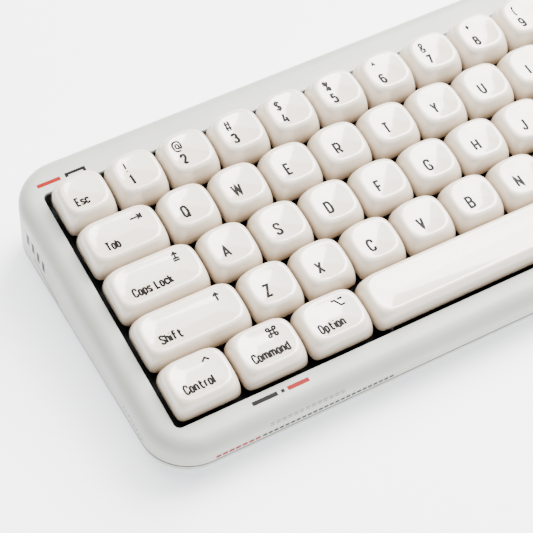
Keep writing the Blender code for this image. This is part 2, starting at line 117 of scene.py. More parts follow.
# Legends, from the middle of a key or the end of a wide one
LETTER_HEIGHT = 4.2 * MM
DIGIT_HEIGHT = 3.6 * MM
WORD_HEIGHT = 3.1 * MM
SHIFTED_HEIGHT = 3.6 * MM
LETTER_STROKE = 0.92 * MM
WORD_STROKE = 0.74 * MM
SYMBOL_STROKE = 0.68 * MM
CROWDED = "AWM4"
CROWDED_STROKE = 0.84 * MM
LETTER_SQUEEZE = 0.64
DIGIT_SQUEEZE = 0.60
WORD_SQUEEZE = 0.57
LETTER_PLACE = (-2.25 * MM, -1.75 * MM)
DIGIT_PLACE = (-2.9 * MM, -2.9 * MM)
SHIFTED_PLACE = (-2.9 * MM, 2.6 * MM)
WORD_LEFT = 5.4 * MM
WIDE_WORD_LEFT = 7.0 * MM
WORD_Y = -3.0 * MM
SYMBOL_RIGHT = 8.3 * MM
SYMBOL_Y = 3.4 * MM
TWO_LETTER_WORDS = ("Fn", "Up")
RIBBON_STEP = 0.6 * MM
MITRE_LIMIT = 0.5
PROBE_HEIGHT = 20 * MM
INK_PROUD = 0.018 * MM
INK_DEEP = 0.06 * MM

# Each row from the rear to the front: key name, width in pitches, and its legends
KEY_ROWS = (
    (("esc", 1, "Esc"), ("1", 1, "1!"), ("2", 1, "2@"), ("3", 1, "3#"), ("4", 1, "4$"), ("5", 1, "5%"),
     ("6", 1, "6^"), ("7", 1, "7&"), ("8", 1, "8*"), ("9", 1, "9("), ("0", 1, "0)"), ("minus", 1, "-_"),
     ("equals", 1, "=+"), ("backspace", 2, "Back")),
    (("tab", 1.5, "Tab"), ("q", 1, "Q"), ("w", 1, "W"), ("e", 1, "E"), ("r", 1, "R"), ("t", 1, "T"),
     ("y", 1, "Y"), ("u", 1, "U"), ("i", 1, "I"), ("o", 1, "O"), ("p", 1, "P"), ("open_bracket", 1, "[{"),
     ("close_bracket", 1, "]}"), ("backslash", 1.5, "\\|")),
    (("caps_lock", 1.75, "Caps Lock"), ("a", 1, "A"), ("s", 1, "S"), ("d", 1, "D"), ("f", 1, "F"),
     ("g", 1, "G"), ("h", 1, "H"), ("j", 1, "J"), ("k", 1, "K"), ("l", 1, "L"), ("semicolon", 1, ";:"),
     ("quote", 1, "'\""), ("enter", 2.25, "Enter")),
    (("left_shift", 2, "Shift"), ("z", 1, "Z"), ("x", 1, "X"), ("c", 1, "C"), ("v", 1, "V"), ("b", 1, "B"),
     ("n", 1, "N"), ("m", 1, "M"), ("comma", 1, ",<"), ("period", 1, ".>"), ("slash", 1, "/?"),
     ("right_shift", 1, "Shift"), ("up_arrow", 1, "Up"), ("delete", 1, "Del")),
    (("left_control", 1.25, "Control"), ("left_command", 1.25, "Command"), ("left_option", 1.25, "Option"),
     ("space", 6.25, ""), ("right_option", 1, "Opt"), ("function", 1, "Fn"), ("left_arrow", 1, "Left"),
     ("down_arrow", 1, "Down"), ("right_arrow", 1, "Right")),
)
JOINED_KEYS = {
    "keys_0_to_equals": ("0", "minus", "equals"),
    "keys_o_to_close_bracket": ("o", "p", "open_bracket", "close_bracket"),
    "keys_k_to_quote": ("k", "l", "semicolon", "quote"),
    "keys_m_to_slash": ("m", "comma", "period", "slash"),
    "keys_right_shift_to_delete": ("right_shift", "up_arrow", "delete"),
    "keys_right_option_to_right_arrow": (
        "right_option", "function", "left_arrow", "down_arrow", "right_arrow",
    ),
}

# Each character's strokes on a grid where capitals are 6 high. A stroke that starts with ~ is a smooth curve.
GLYPHS = {
    "A": "0 0 2.3 6 4.6 0; .8 1.7 3.8 1.7",
    "B": "0 -.6 0 6.6; ~0 6 3.8 6 3.8 3.2 0 3.2; ~0 3.2 4.1 3.2 4.1 0 0 0",
    "C": "~4 4.2 4 6 0 6 0 0 4 0 4 1.8", "D": "0 -.6 0 6.6; ~0 6 4 6.1 4 -.1 0 0",
    "E": "3.5 6 0 6 0 0 3.5 0; 0 3.1 3 3.1", "F": "3.5 6 0 6 0 0; 0 3 3 3",
    "G": "~4 4.4 4 6 0 6 0 0 4 0 4 2.8; 4 2.8 2.3 2.8", "H": "0 0 0 6; 4 0 4 6; 0 3.1 4 3.1",
    "I": "0 0 0 6", "J": "~3 6 3 0 0 0 0 1.6", "K": "0 0 0 6; 3.8 6 0 2.3; 1.4 3.6 4 0",
    "L": "0 6 0 0 3.5 0", "M": "0 0 0 6 2.6 1.6 5.2 6 5.2 0", "N": "0 0 0 6 4 0 4 6",
    "O": "~0 3 0 6 4 6 4 0 0 0 0 3", "P": "0 0 0 6.6; ~0 6 4 6 4 2.6 0 2.6",
    "Q": "~0 3 0 6 4 6 4 0 0 0 0 3; 2.3 1.7 4.2 -.5", "R": "0 0 0 6.6; ~0 6 4 6 4 2.7 0 2.7; 2.1 2.7 4 0",
    "S": "~3.9 4.5 3.9 6 .1 6 .1 3.6 3.9 2.5 3.9 0 .1 0 .1 1.5", "T": "0 6 4 6; 2 6 2 0",
    "U": "~0 6 0 0 4 0 4 6", "V": "0 6 2 0 4 6", "W": "0 6 1.6 0 3.2 6 4.8 0 6.4 6",
    "X": "0 6 4 0; 4 6 0 0", "Y": "0 6 2 2.7 4 6; 2 2.7 2 0", "Z": "0 6 4 6 0 0 4 0",
    "0": "~0 3 0 6 4 6 4 0 0 0 0 3", "1": ".4 4.9 1.8 6 1.8 0",
    "2": "~.1 4.4 .1 6 3.9 6 3.9 3.7 0 0; 0 0 4 0",
    "3": "~.2 4.8 .2 6 3.8 6 3.8 3.2 1.5 3.2; ~1.5 3.2 4 3.2 4 0 0 0 0 1.3",
    "4": "2 6.2 0 1.6 4.6 1.6; 3.4 3.6 3.4 -.2", "5": "3.6 6 .5 6 .2 3.1; ~.2 3.1 .6 4 4 4 4 0 0 0 0 1.3",
    "6": "~3.6 5 3.4 6 0 6 0 0 4 0 4 3.6 .2 3.6 0 1.8", "7": "0 6 4 6 1.4 0",
    "8": "~2 3.2 .2 3.2 .2 6 3.8 6 3.8 3.2 2 3.2; ~2 3.2 0 3.2 0 0 4 0 4 3.2 2 3.2",
    "9": "~.4 1 .6 0 4 0 4 6 0 6 0 2.4 3.8 2.4 4 4.2",
    "a": "~3.2 2.1 3.2 4.2 0 4.2 0 0 3.2 0 3.2 2.1; 3.2 4.2 3.2 0",
    "b": "0 6 0 0; ~0 2.1 0 4.2 3.2 4.2 3.2 0 0 0 0 2.1", "c": "~3.1 2.9 3.1 4.2 0 4.2 0 0 3.1 0 3.1 1.3",
    "d": "3.2 6 3.2 0; ~3.2 2.1 3.2 4.2 0 4.2 0 0 3.2 0 3.2 2.1",
    "e": "0 2.2 3.2 2.2; ~3.2 2.2 3.2 4.2 0 4.2 0 0 3.1 0 3.1 .9",
    "f": "~4.2 6 1.4 6.2 1.4 4.4 1.4 0; 0 4.1 3.8 4.1",
    "g": "~3.2 2.1 3.2 4.2 0 4.2 0 0 3.2 0 3.2 2.1; ~3.2 4.2 3.2 -1.6 .2 -1.6",
    "h": "0 0 0 6; ~0 3 .3 4.2 3.2 4.2 3.2 0", "i": "0 0 0 4.2; 0 5.4 0 6",
    "k": "0 0 0 6; 2.8 4.2 0 1.6; 1.1 2.6 3 0", "l": "0 6 0 0",
    "m": "0 0 0 4.2; ~0 3 .3 4.3 3 4.3 3 0; ~3 3 3.3 4.3 6 4.3 6 0",
    "n": "0 0 0 4.2; ~0 3 .3 4.2 3.2 4.2 3.2 0", "o": "~0 2.1 0 4.2 3.2 4.2 3.2 0 0 0 0 2.1",
    "p": "0 4.2 0 -1.6; ~0 2.1 0 4.2 3.2 4.2 3.2 0 0 0 0 2.1", "r": "0 0 0 4.2; ~0 2.6 .3 4.2 2.1 4.2",
    "s": "~3 3.1 3 4.2 .1 4.2 .1 2.4 3 1.8 3 0 .1 0 .1 1.1", "t": "~1.4 6 1.4 0 4.2 0; 0 4.1 3.8 4.1",
    "w": "0 4.2 1.1 0 2.3 4.2 3.5 0 4.6 4.2", " ": "", "!": "0 6 0 2; 0 .7 0 0",
    "@": (
        "~5.2 3 5.2 4.4 2.4 4.4 2.4 1.6 5.2 1.6 5.2 3; "
        "~5.2 4.4 5.2 1.4 7.4 1.4 7.4 6.2 0 6.2 0 -.2 5.6 -.2"
    ),
    "#": "1 -.2 1.7 6.2; 3.8 -.2 4.5 6.2; .2 4.3 5.6 4.3; 0 1.7 5.4 1.7",
    "%": "0 0 4 6; ~0 5 0 6 1.7 6 1.7 3.8 0 3.8 0 5; ~2.3 1.2 2.3 2.2 4 2.2 4 0 2.3 0 2.3 1.2",
    "^": ".4 4.2 1.8 6 3.2 4.2",
    "$": "~3.9 4.5 3.9 5.6 .1 5.6 .1 3.5 3.9 2.6 3.9 .4 .1 .4 .1 1.5; 2 -.6 2 6.6",
    "&": "~4 0 .4 4.2 .4 6 3 6 3 4.2 0 2.8 0 0 3 0 3.8 2.4", "*": "2 3 2 6; .7 3.8 3.3 5.2; .7 5.2 3.3 3.8",
    "(": "~1.5 6.4 0 5 0 1 1.5 -.4", ")": "~0 6.4 1.5 5 1.5 1 0 -.4", "-": "0 3 3 3", "_": "0 0 3.6 0",
    "=": "0 2 3.6 2; 0 4 3.6 4", "+": "1.8 1.2 1.8 4.8; 0 3 3.6 3", "[": "1.5 6.4 0 6.4 0 -.4 1.5 -.4",
    "]": "0 6.4 1.5 6.4 1.5 -.4 0 -.4", "{": "~1.9 6.4 .9 6.4 .9 3.3 0 3; ~0 3 .9 2.7 .9 -.4 1.9 -.4",
    "}": "~0 6.4 1 6.4 1 3.3 1.9 3; ~1.9 3 1 2.7 1 -.4 0 -.4", "\\": "0 6 2.8 0", "|": "0 6.4 0 -.4",
    ";": "0 4 0 3.3; .1 .7 -.3 -1", ":": "0 4 0 3.3; 0 .7 0 0", "'": "0 6 0 4.4",
    "\"": "0 6 0 4.4; 1.4 6 1.4 4.4", ",": ".1 .7 -.3 -1", "<": "3.4 5 0 3 3.4 1", ".": "0 .6 0 0",
    ">": "0 5 3.4 3 0 1", "/": "0 0 2.8 6", "?": "~0 4.6 0 6 3.6 6 3.6 3.8 1.8 3 1.8 1.8; 1.8 .7 1.8 0",
}
CAPITAL_HEIGHT = 6
GLYPH_SPACE = 1.3
BLANK_WIDTH = 1.5
CORNER_CUTS = 3

# Drawn symbols on the same grid, about their middle
SYMBOLS = {
    "Tab": "-3.2 0 2.8 0; .9 1.6 2.9 0 .9 -1.6; 3.1 1.7 3.1 -1.7",
    "Caps Lock": "0 -.3 0 3; -1.6 1.4 0 3 1.6 1.4; -1.8 -.6 1.8 -.6; -1.8 -1.9 1.8 -1.9",
    "Shift": "0 -2.4 0 2.4; -1.6 .8 0 2.4 1.6 .8", "Control": "-.9 .3 1.1 2.2 3.1 .3",
    "Option": "-3.4 1.9 -1.3 1.9 1.1 -1.9 3.4 -1.9; .6 1.9 3.4 1.9",
    "Command": (
        "-1 -1 1 -1; -1 1 1 1; -1 -1 -1 1; 1 -1 1 1; ~1 1 1 2.6 2.6 2.6 2.6 1 1 1; "
        "~-1 1 -1 2.6 -2.6 2.6 -2.6 1 -1 1; ~1 -1 1 -2.6 2.6 -2.6 2.6 -1 1 -1; "
        "~-1 -1 -1 -2.6 -2.6 -2.6 -2.6 -1 -1 -1"
    ),
    "Up": "0 -2.4 0 2.4; -1.6 .8 0 2.4 1.6 .8", "Down": "0 2.4 0 -2.4; -1.6 -.8 0 -2.4 1.6 -.8",
    "Left": "2.4 0 -2.4 0; -.8 1.6 -2.4 0 -.8 -1.6", "Right": "-2.4 0 2.4 0; .8 1.6 2.4 0 .8 -1.6",
    "Back": "3.2 0 -2.8 0; -.9 1.6 -2.9 0 -.9 -1.6",
    "Enter": "2.4 2 2.4 -.6 -2.4 -.6; -.9 1 -2.5 -.6 -.9 -2.2",
}

# Colours: the keycaps go from a painted shade at the deck's level, standing in for the shadow in the gaps
# between keys, to ivory at a height above it
IVORY = (0.77, 0.69, 0.58)
SKIRT_PAINTED_SHADE = (0.48, 0.37, 0.26)
PAINTED_SHADE_HEIGHT = 7.0 * MM
CASE_SHADES = ((0.395, 0.40, 0.36), (0.425, 0.43, 0.39))
BASE_SHADES = ((0.375, 0.38, 0.34), (0.405, 0.41, 0.37))
DARK_SPECULAR = 0.1
NOISE_LOW = 0.3
NOISE_HIGH = 0.7

# Plain finishes: darker and lighter shade, lowest and highest roughness, and the grain's scale
FINISHES = {
    "legend_ink": ((0.0028, 0.0014, 0.0016), (0.0040, 0.0021, 0.0024), (0.4, 0.5), 3000),
    "mark_red": ((0.20, 0.0020, 0.0025), (0.24, 0.0030, 0.0035), (0.4, 0.5), 3000),
    "plate_black": ((0.006, 0.006, 0.0065), (0.010, 0.010, 0.011), (0.35, 0.5), 3000),
    # well_shade is painted shade, for the sheet on the walls of the key well
    "well_shade": ((0.045, 0.046, 0.042), (0.06, 0.061, 0.056), (0.5, 0.6), 3000),
    "foot_rubber": ((0.022, 0.022, 0.022), (0.035, 0.035, 0.035), (0.75, 0.9), 4000),
    "steel": ((0.55, 0.55, 0.57), (0.65, 0.65, 0.67), (0.2, 0.35), 2500),
    "board_green": ((0.015, 0.08, 0.04), (0.03, 0.12, 0.06), (0.35, 0.5), 800),
    "battery_wrap": ((0.08, 0.10, 0.14), (0.12, 0.14, 0.18), (0.3, 0.45), 900),
}

# Camera, relative to the deck of keys
CAMERA_AZIMUTH = math.radians(-33.7)
CAMERA_ELEVATION = math.radians(57.27)
CAMERA_ROLL = math.radians(5.95)
CAMERA_DISTANCE = 0.5912
CAMERA_TARGET = Vector((51.9 * MM, 38.6 * MM, 0))
CAMERA_LENS = 123.4
SENSOR_WIDTH = 36

# Stage
FLOOR_HALF = 3.0
FLOOR_DROP = 0.05 * MM
FLOOR_COLOR = (0.93, 0.93, 0.95)
FLOOR_GLOW = 1.3
SKY_COLOR = (0.90, 0.94, 1.0)
SKY_STRENGTH = 0.3


# ---- The deck's frame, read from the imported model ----

def key_tilt():
    """The slope of the deck, from the direction in which the keys are pressed."""
    axis = next(joint["axis"] for joint in frame["joints"] if joint["name"] == "press_esc")
    return math.atan2(axis[1], -axis[2])


def turned_box(node, turn):
    """Lowest and highest corners of a node, along the deck's own directions."""
    back = turn.inverted()
    points = [back @ vertex.co for vertex in frame["nodes"][node].data.vertices]
    return [Vector([pick(point[axis] for point in points) for axis in range(3)]) for pick in (min, max)]


def deck_matrix():
    """The deck's frame: x and y from the front left corner of the key grid, z from the case's top face."""
    turn = Matrix.Rotation(TILT, 4, "X")
    control = turned_box("key_left_control", turn)[0]
    top = turned_box("top_case", turn)[1]
    corner = Vector((control.x - CAP_GAP / 2, control.y - CAP_GAP / 2, top.z))
    return turn @ Matrix.Translation(corner)


TILT = key_tilt()
DECK = deck_matrix()
FRONT_Y = -OPENING_GAP - BEZEL_FRONT


# ---- Camera ----

def make_camera():
    """Looks at the deck from its front left, with the camera leaned a little to one side."""
    azimuth, elevation = CAMERA_AZIMUTH, CAMERA_ELEVATION
    back = Vector((
        math.sin(azimuth) * math.cos(elevation), -math.cos(azimuth) * math.cos(elevation), math.sin(elevation)
    ))
    right = (-back).cross(Vector((0, 0, 1))).normalized()
    up = right.cross(-back)
    leaned_right = math.cos(CAMERA_ROLL) * right + math.sin(CAMERA_ROLL) * up
    leaned_up = math.cos(CAMERA_ROLL) * up - math.sin(CAMERA_ROLL) * right
    turn = Matrix((leaned_right, leaned_up, back)).transposed().to_4x4()
    data = bpy.data.cameras.new("camera")
    data.lens = CAMERA_LENS
    data.sensor_width = SENSOR_WIDTH
    data.clip_start = 0.01
    camera = bpy.data.objects.new("camera", data)
    bpy.context.scene.collection.objects.link(camera)
    camera.matrix_world = DECK @ Matrix.Translation(CAMERA_TARGET + back * CAMERA_DISTANCE) @ turn
    bpy.context.scene.camera = camera


# ---- Mesh helpers ----

def new_object(name, mesh, surface, body, node=None, smooth_angle=40):
    """Adds a visible piece that rides on a body, and stands for a CAD node if one is given."""
    obj = bpy.data.objects.new(name, mesh)
    bpy.context.scene.collection.objects.link(obj)
    mesh.materials.clear()
    mesh.materials.append(surface)
    mesh.shade_smooth()
    mesh.set_sharp_from_angle(angle=math.radians(smooth_angle))
    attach(obj, body)
    if node:
        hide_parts(node)


def mesh_of(bm, name):
    """The finished mesh, with its faces turned outwards."""
    bmesh.ops.recalc_face_normals(bm, faces=bm.faces)
    if bm.calc_volume(signed=True) < 0:
        bmesh.ops.reverse_faces(bm, faces=bm.faces)
    mesh = bpy.data.meshes.new(name)
    bm.to_mesh(mesh)
    bm.free()
    return mesh


def add_loft(bm, loops, ring=False):
    """Skins the loops in order. The ends are closed by faces, or joined to each other in a ring."""
    rows = [[bm.verts.new(point) for point in loop] for loop in loops]
    pairs = list(zip(rows, rows[1:]))
    if ring:
        pairs.append((rows[-1], rows[0]))
    else:
        bm.faces.new(rows[0])
        bm.faces.new(rows[-1])
    for first, second in pairs:
        for index in range(len(first)):
            after = (index + 1) % len(first)
            bm.faces.new((first[index], first[after], second[after], second[index]))


def rounded_rectangle(x0, x1, y0, y1, radius, corner_steps):
    """The points of a rectangle with round corners, anticlockwise."""
    points = []
    corners = ((x1, y1, 0), (x0, y1, 90), (x0, y0, 180), (x1, y0, 270))
    for x, y, start in corners:
        centre_x = x - radius if x == x1 else x + radius
        centre_y = y - radius if y == y1 else y + radius
        for step in range(corner_steps + 1):
            angle = math.radians(start + 90 * step / corner_steps)
            points.append((centre_x + radius * math.cos(angle), centre_y + radius * math.sin(angle)))
    return points


def cut(mesh, cutters):
    """The mesh with each of the cutter meshes taken away from it."""
    collection = bpy.context.scene.collection
    for cutter_mesh in cutters:
        body = bpy.data.objects.new("body", mesh)
        cutter = bpy.data.objects.new("cutter", cutter_mesh)
        collection.objects.link(body)
        collection.objects.link(cutter)
        modifier = body.modifiers.new("boolean", "BOOLEAN")
        modifier.operation = "DIFFERENCE"
        modifier.solver = "EXACT"
        modifier.object = cutter
        graph = bpy.context.evaluated_depsgraph_get()
        mesh = bpy.data.meshes.new_from_object(body.evaluated_get(graph))
        bpy.data.objects.remove(body)
        bpy.data.objects.remove(cutter)
    return mesh


# ---- Materials ----

def new_material(name, color, roughness, metallic=0.0):
    made = bpy.data.materials.new(name)
    made.use_nodes = True
    shader = made.node_tree.nodes["Principled BSDF"]
    shader.inputs["Base Color"].default_value = (*color, 1)
    shader.inputs["Roughness"].default_value = roughness
    shader.inputs["Metallic"].default_value = metallic
    return made, made.node_tree, shader


def noise(tree, scale, detail=3.0):
    coordinates = tree.nodes.new("ShaderNodeTexCoord")
    texture = tree.nodes.new("ShaderNodeTexNoise")
    texture.inputs["Scale"].default_value = scale
    texture.inputs["Detail"].default_value = detail
    tree.links.new(coordinates.outputs["Object"], texture.inputs["Vector"])
    return texture.outputs["Fac"]


def vary(tree, factor, socket, low, high):
    """Drives a number from noise, between low and high."""
    span = tree.nodes.new("ShaderNodeMapRange")
    span.inputs["From Min"].default_value = NOISE_LOW
    span.inputs["From Max"].default_value = NOISE_HIGH
    span.inputs["To Min"].default_value = low
    span.inputs["To Max"].default_value = high
    tree.links.new(factor, span.inputs["Value"])
    tree.links.new(span.outputs["Result"], socket)


def tint(tree, factor, socket, low, high, span=(0.35, 0.65)):
    """Drives a colour from a factor, between two shades."""
    ramp = tree.nodes.new("ShaderNodeValToRGB")
    for element, position, shade in zip(ramp.color_ramp.elements, span, (low, high)):
        element.position = position
        element.color = (*shade, 1)
    tree.links.new(factor, ramp.inputs["Fac"])
    tree.links.new(ramp.outputs["Color"], socket)


def bump(tree, factor, shader, strength, distance):
    made = tree.nodes.new("ShaderNodeBump")
    made.inputs["Strength"].default_value = strength
    made.inputs["Distance"].default_value = distance
    tree.links.new(factor, made.inputs["Height"])
    tree.links.new(made.outputs["Normal"], shader.inputs["Normal"])


def deck_height(tree, low, high):
    """A factor that goes from 0 to 1 between two heights on the deck."""
    up = DECK.col[2].xyz
    origin = DECK.translation.dot(up)
    coordinates = tree.nodes.new("ShaderNodeTexCoord")
    along = tree.nodes.new("ShaderNodeVectorMath")
    along.operation = "DOT_PRODUCT"
    along.inputs[1].default_value = up
    tree.links.new(coordinates.outputs["Object"], along.inputs[0])
    span = tree.nodes.new("ShaderNodeMapRange")
    span.interpolation_type = "SMOOTHSTEP"
    span.inputs["From Min"].default_value = origin + low
    span.inputs["From Max"].default_value = origin + high
    tree.links.new(along.outputs["Value"], span.inputs["Value"])
    return span.outputs["Result"]


def keycap_material():
    """Ivory plastic under a clear gloss, with painted shade that makes it warmer and darker towards the
    skirt, where the gaps between keys lie in shadow.
    """
    made, tree, shader = new_material("keycap_ivory", IVORY, 0.14)
    # Painted shade: the base colour darkens to tan towards the skirt, in the place of the shadow between keys
    tint(tree, deck_height(tree, 0, PAINTED_SHADE_HEIGHT), shader.inputs["Base Color"], SKIRT_PAINTED_SHADE, IVORY, (0, 1))
    vary(tree, noise(tree, 400), shader.inputs["Roughness"], 0.11, 0.17)
    bump(tree, noise(tree, 700, 2), shader, 0.04, 0.0002)
    shader.inputs["Coat Weight"].default_value = 1.0
    shader.inputs["Coat Roughness"].default_value = 0.05
    return made


def case_material(name, low, high):
    """Satin moulded plastic with a very fine even grain."""
    made, tree, shader = new_material(name, high, 0.42)
    tint(tree, noise(tree, 60), shader.inputs["Base Color"], low, high)
    vary(tree, noise(tree, 900), shader.inputs["Roughness"], 0.36, 0.46)
    bump(tree, noise(tree, 5200, 2), shader, 0.10, 0.00004)
    return made


def plain_material(name, metallic=0.0):
    """A colour and finish that vary a little over the surface, with a fine grain."""
    low, high, roughness, grain = FINISHES[name]
    made, tree, shader = new_material(name, high, max(roughness), metallic)
    tint(tree, noise(tree, grain / 8), shader.inputs["Base Color"], low, high)
    vary(tree, noise(tree, grain / 2), shader.inputs["Roughness"], *roughness)
    bump(tree, noise(tree, grain, 2), shader, 0.1, 0.00003)
    return made


# ---- Case ----

def base_z(y):
    """Deck z of the case's flat underside at a deck y."""
    return -(FRONT_HEIGHT + (y - FRONT_Y) * math.tan(TILT))


def around_opening(side, front, rear, radius, height_of):
    """A loop at these distances outside the key opening, at the height that a function gives for each y."""
    outline = rounded_rectangle(
        -OPENING_GAP - side, GRID_X + OPENING_GAP + side,
        -OPENING_GAP - front, GRID_Y + OPENING_GAP + rear, radius, CORNER_STEPS,
    )
    return [DECK @ Vector((x, y, height_of(y))) for x, y in outline]


def case_loop(inset, height_of):
    """A loop that runs at an inset from the case's outer face."""
    return around_opening(
        BEZEL_SIDE - inset, BEZEL_FRONT - inset, BEZEL_REAR - inset, CORNER_RADIUS - inset, height_of
    )


def below_top(depth):
    return lambda y: -depth


def above_base(height):
    return lambda y: base_z(y) + height


def arc(steps):
    """The angles of a quarter turn."""
    return [math.pi / 2 * step / steps for step in range(steps + 1)]


def port_loop(grow, y):
    """The oblong outline of the port, grown by a distance, at a place along y."""
    low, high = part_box("usb_c_port")
    centre = (low + high) / 2
    half_height = PORT_HEIGHT / 2 + grow
    half_width = (high.x - low.x) / 2 + grow
    outline = rounded_rectangle(-half_width, half_width, -half_height, half_height, half_height * 0.98, 10)
    return [Vector((centre.x + x, y, high.z - PORT_HEIGHT / 2 + z)) for x, z in outline]


def port_mouth():
    """A cutter that opens the case around the port."""
    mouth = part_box("usb_c_port")[1].y
    reach = 6 * MM
    bm = bmesh.new()
    add_loft(bm, [port_loop(CLEARANCE, mouth - reach), port_loop(CLEARANCE, mouth + reach)])
    return mesh_of(bm, "port_mouth")


def make_port(metal, dark):
    """The inlet's drawn shell, open to the rear, with its tongue inside."""
    low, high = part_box("usb_c_port")
    back = low.y + PORT_BACK
    bm = bmesh.new()
    add_loft(bm, [
        port_loop(0, low.y), port_loop(0, high.y - PORT_EDGE), port_loop(-PORT_EDGE, high.y),
        port_loop(-PORT_WALL, high.y), port_loop(-PORT_WALL, back),
    ])
    new_object("port_shell", mesh_of(bm, "port_shell"), metal, "case", "usb_c_port")
    middle = high.z - PORT_HEIGHT / 2
    half = (high.x - low.x) / 2
    tip = high.y - TONGUE_DEPTH
    thick = TONGUE_HALF_THICKNESS
    tongue = bmesh.new()
    add_loft(tongue, [
        [Vector((x, y, middle + z)) for x, z in rounded_rectangle(-reach, reach, -thick, thick, PORT_EDGE, 3)]
        for y, reach in (
            (back - 0.2 * MM, half * 0.75), (tip - 0.3 * MM, half * 0.75), (tip, half * 0.7),
        )
    ])
    new_object("port_tongue", mesh_of(tongue, "port_tongue"), dark, "case")


def ring_of_points(centre, radius_at, z):
    """A level loop whose radius is a function of the angle."""
    turns = [2 * math.pi * step / SCREW_POINTS for step in range(SCREW_POINTS)]
    return [
        Vector((centre.x + radius_at(turn) * math.cos(turn), centre.y + radius_at(turn) * math.sin(turn), z))
        for turn in turns
    ]


def round_loop(centre, radius, z):
    return ring_of_points(centre, lambda turn: radius, z)


def six_sided_loop(centre, radius, z):
    side = math.pi / 3
    flat = radius * math.cos(side / 2)
    return ring_of_points(centre, lambda turn: flat / math.cos(turn % side - side / 2), z)


def make_screws(surface):
    """Each screw has a low rounded head with a six-sided socket, and a plain shaft above it."""
    for node in SCREWS:
        low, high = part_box(node)
        centre = (low + high) / 2
        head = (high.x - low.x) / 2
        shoulder = low.z + SCREW_HEAD_DEPTH
        bm = bmesh.new()
        add_loft(bm, [
            round_loop(centre, SCREW_SHAFT * 0.8, high.z),
            round_loop(centre, SCREW_SHAFT, high.z - 0.2 * MM),
            round_loop(centre, SCREW_SHAFT, shoulder),
            round_loop(centre, head, shoulder),
            round_loop(centre, head, low.z + 0.35 * MM),
            round_loop(centre, head * 0.94, low.z + 0.12 * MM),
            round_loop(centre, head * 0.80, low.z),
            six_sided_loop(centre, head * 0.52, low.z),
            six_sided_loop(centre, head * 0.50, low.z + SCREW_SOCKET_DEPTH),
        ])
        new_object(f"{node}_head", mesh_of(bm, node), surface, "case", node, 30)


def foot_loop(low, high, grow, z):
    """The outline of a foot strip with round ends, grown by a distance."""
    x0, y0, x1, y1 = low.x - grow, low.y - grow, high.x + grow, high.y + grow
    return [Vector((x, y, z)) for x, y in rounded_rectangle(x0, x1, y0, y1, (y1 - y0) * 0.48, 12)]


def make_feet(surface):
    for node in FEET:
        low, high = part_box(node)
        bm = bmesh.new()
        add_loft(bm, [
            foot_loop(low, high, 0, high.z),
            foot_loop(low, high, 0, low.z + 0.4 * MM),
            foot_loop(low, high, -0.12 * MM, low.z + 0.12 * MM),
            foot_loop(low, high, -0.4 * MM, low.z),
        ])
        new_object(f"{node}_strip", mesh_of(bm, node), surface, "case", node)


def base_cutters():
    """Cutters for the screws' counterbores and the feet's recesses."""
    cutters = []
    for node in SCREWS:
        low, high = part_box(node)
        centre = (low + high) / 2
        head = (high.x - low.x) / 2 + CLEARANCE
        shaft = SCREW_SHAFT + CLEARANCE
        shoulder = low.z + SCREW_HEAD_DEPTH + CLEARANCE
        bm = bmesh.new()
        add_loft(bm, [
            round_loop(centre, head, low.z - 2 * MM), round_loop(centre, head, shoulder),
            round_loop(centre, shaft, shoulder), round_loop(centre, shaft, high.z),
        ])
        cutters.append(mesh_of(bm, f"{node}_bore"))
    for node in FEET:
        low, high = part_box(node)
        bm = bmesh.new()
        add_loft(bm, [foot_loop(low, high, CLEARANCE, z) for z in (low.z - MM, high.z + CLEARANCE / 2)])
        cutters.append(mesh_of(bm, f"{node}_recess"))
    return cutters


def make_top_case(surface):
    """The upper shell, skinned from the opening's edge over the outside and back up through the inside."""
    loops = []
    for angle in arc(4):
        out = SHELL_EDGE * (1 - math.cos(angle))
        depth = SHELL_EDGE * (1 - math.sin(angle))
        loops.append(around_opening(out, out, out, OPENING_RADIUS + out, below_top(depth)))
    for angle in arc(14):
        depth = TOP_ROUND * (1 - math.cos(angle))
        loops.append(case_loop(TOP_ROUND * (1 - math.sin(angle)), below_top(depth)))
    seam = BASE_ROUND + SEAM_GAP
    loops.append(case_loop(0, above_base(seam + SHELL_EDGE)))
    loops.append(case_loop(SHELL_EDGE * 0.3, above_base(seam + SHELL_EDGE * 0.3)))
    loops.append(case_loop(SHELL_EDGE, above_base(seam)))
    loops.append(case_loop(WALL, above_base(seam)))
    loops.append(case_loop(WALL, below_top(2 * WALL)))
    loops.append(case_loop(2 * WALL, below_top(WALL)))
    well_radius = OPENING_RADIUS + LIP
    well_depth = below_top(PLATE_TOP - 0.3 * MM)
    loops.append(around_opening(LIP, LIP, LIP, well_radius, below_top(WALL)))
    loops.append(around_opening(LIP, LIP, LIP, well_radius, well_depth))
    loops.append(around_opening(0, 0, 0, OPENING_RADIUS, well_depth))
    bm = bmesh.new()
    add_loft(bm, loops, ring=True)
    shell = cut(mesh_of(bm, "case_upper_shell"), [port_mouth()])
    new_object("case_upper_shell", shell, surface, "case", "top_case")
    return shell


def make_painted_well_shade(surface):
    """A thin dark sheet on the walls of the key well, under its rounded edge: painted shade where the well
    lies in shadow.
    """
    foot = PLATE_TOP - 0.4 * MM
    levels = (
        (0, SHADE_SHEET_TOP), (0, foot), (-SHADE_SHEET_THICKNESS, foot), (-SHADE_SHEET_THICKNESS, SHADE_SHEET_TOP + SHADE_SHEET_THICKNESS)
    )
    bm = bmesh.new()
    add_loft(bm, [
        around_opening(out, out, out, OPENING_RADIUS + out, below_top(depth)) for out, depth in levels
    ], ring=True)
    new_object("painted_well_shade_sheet", mesh_of(bm, "painted_well_shade_sheet"), surface, "case")


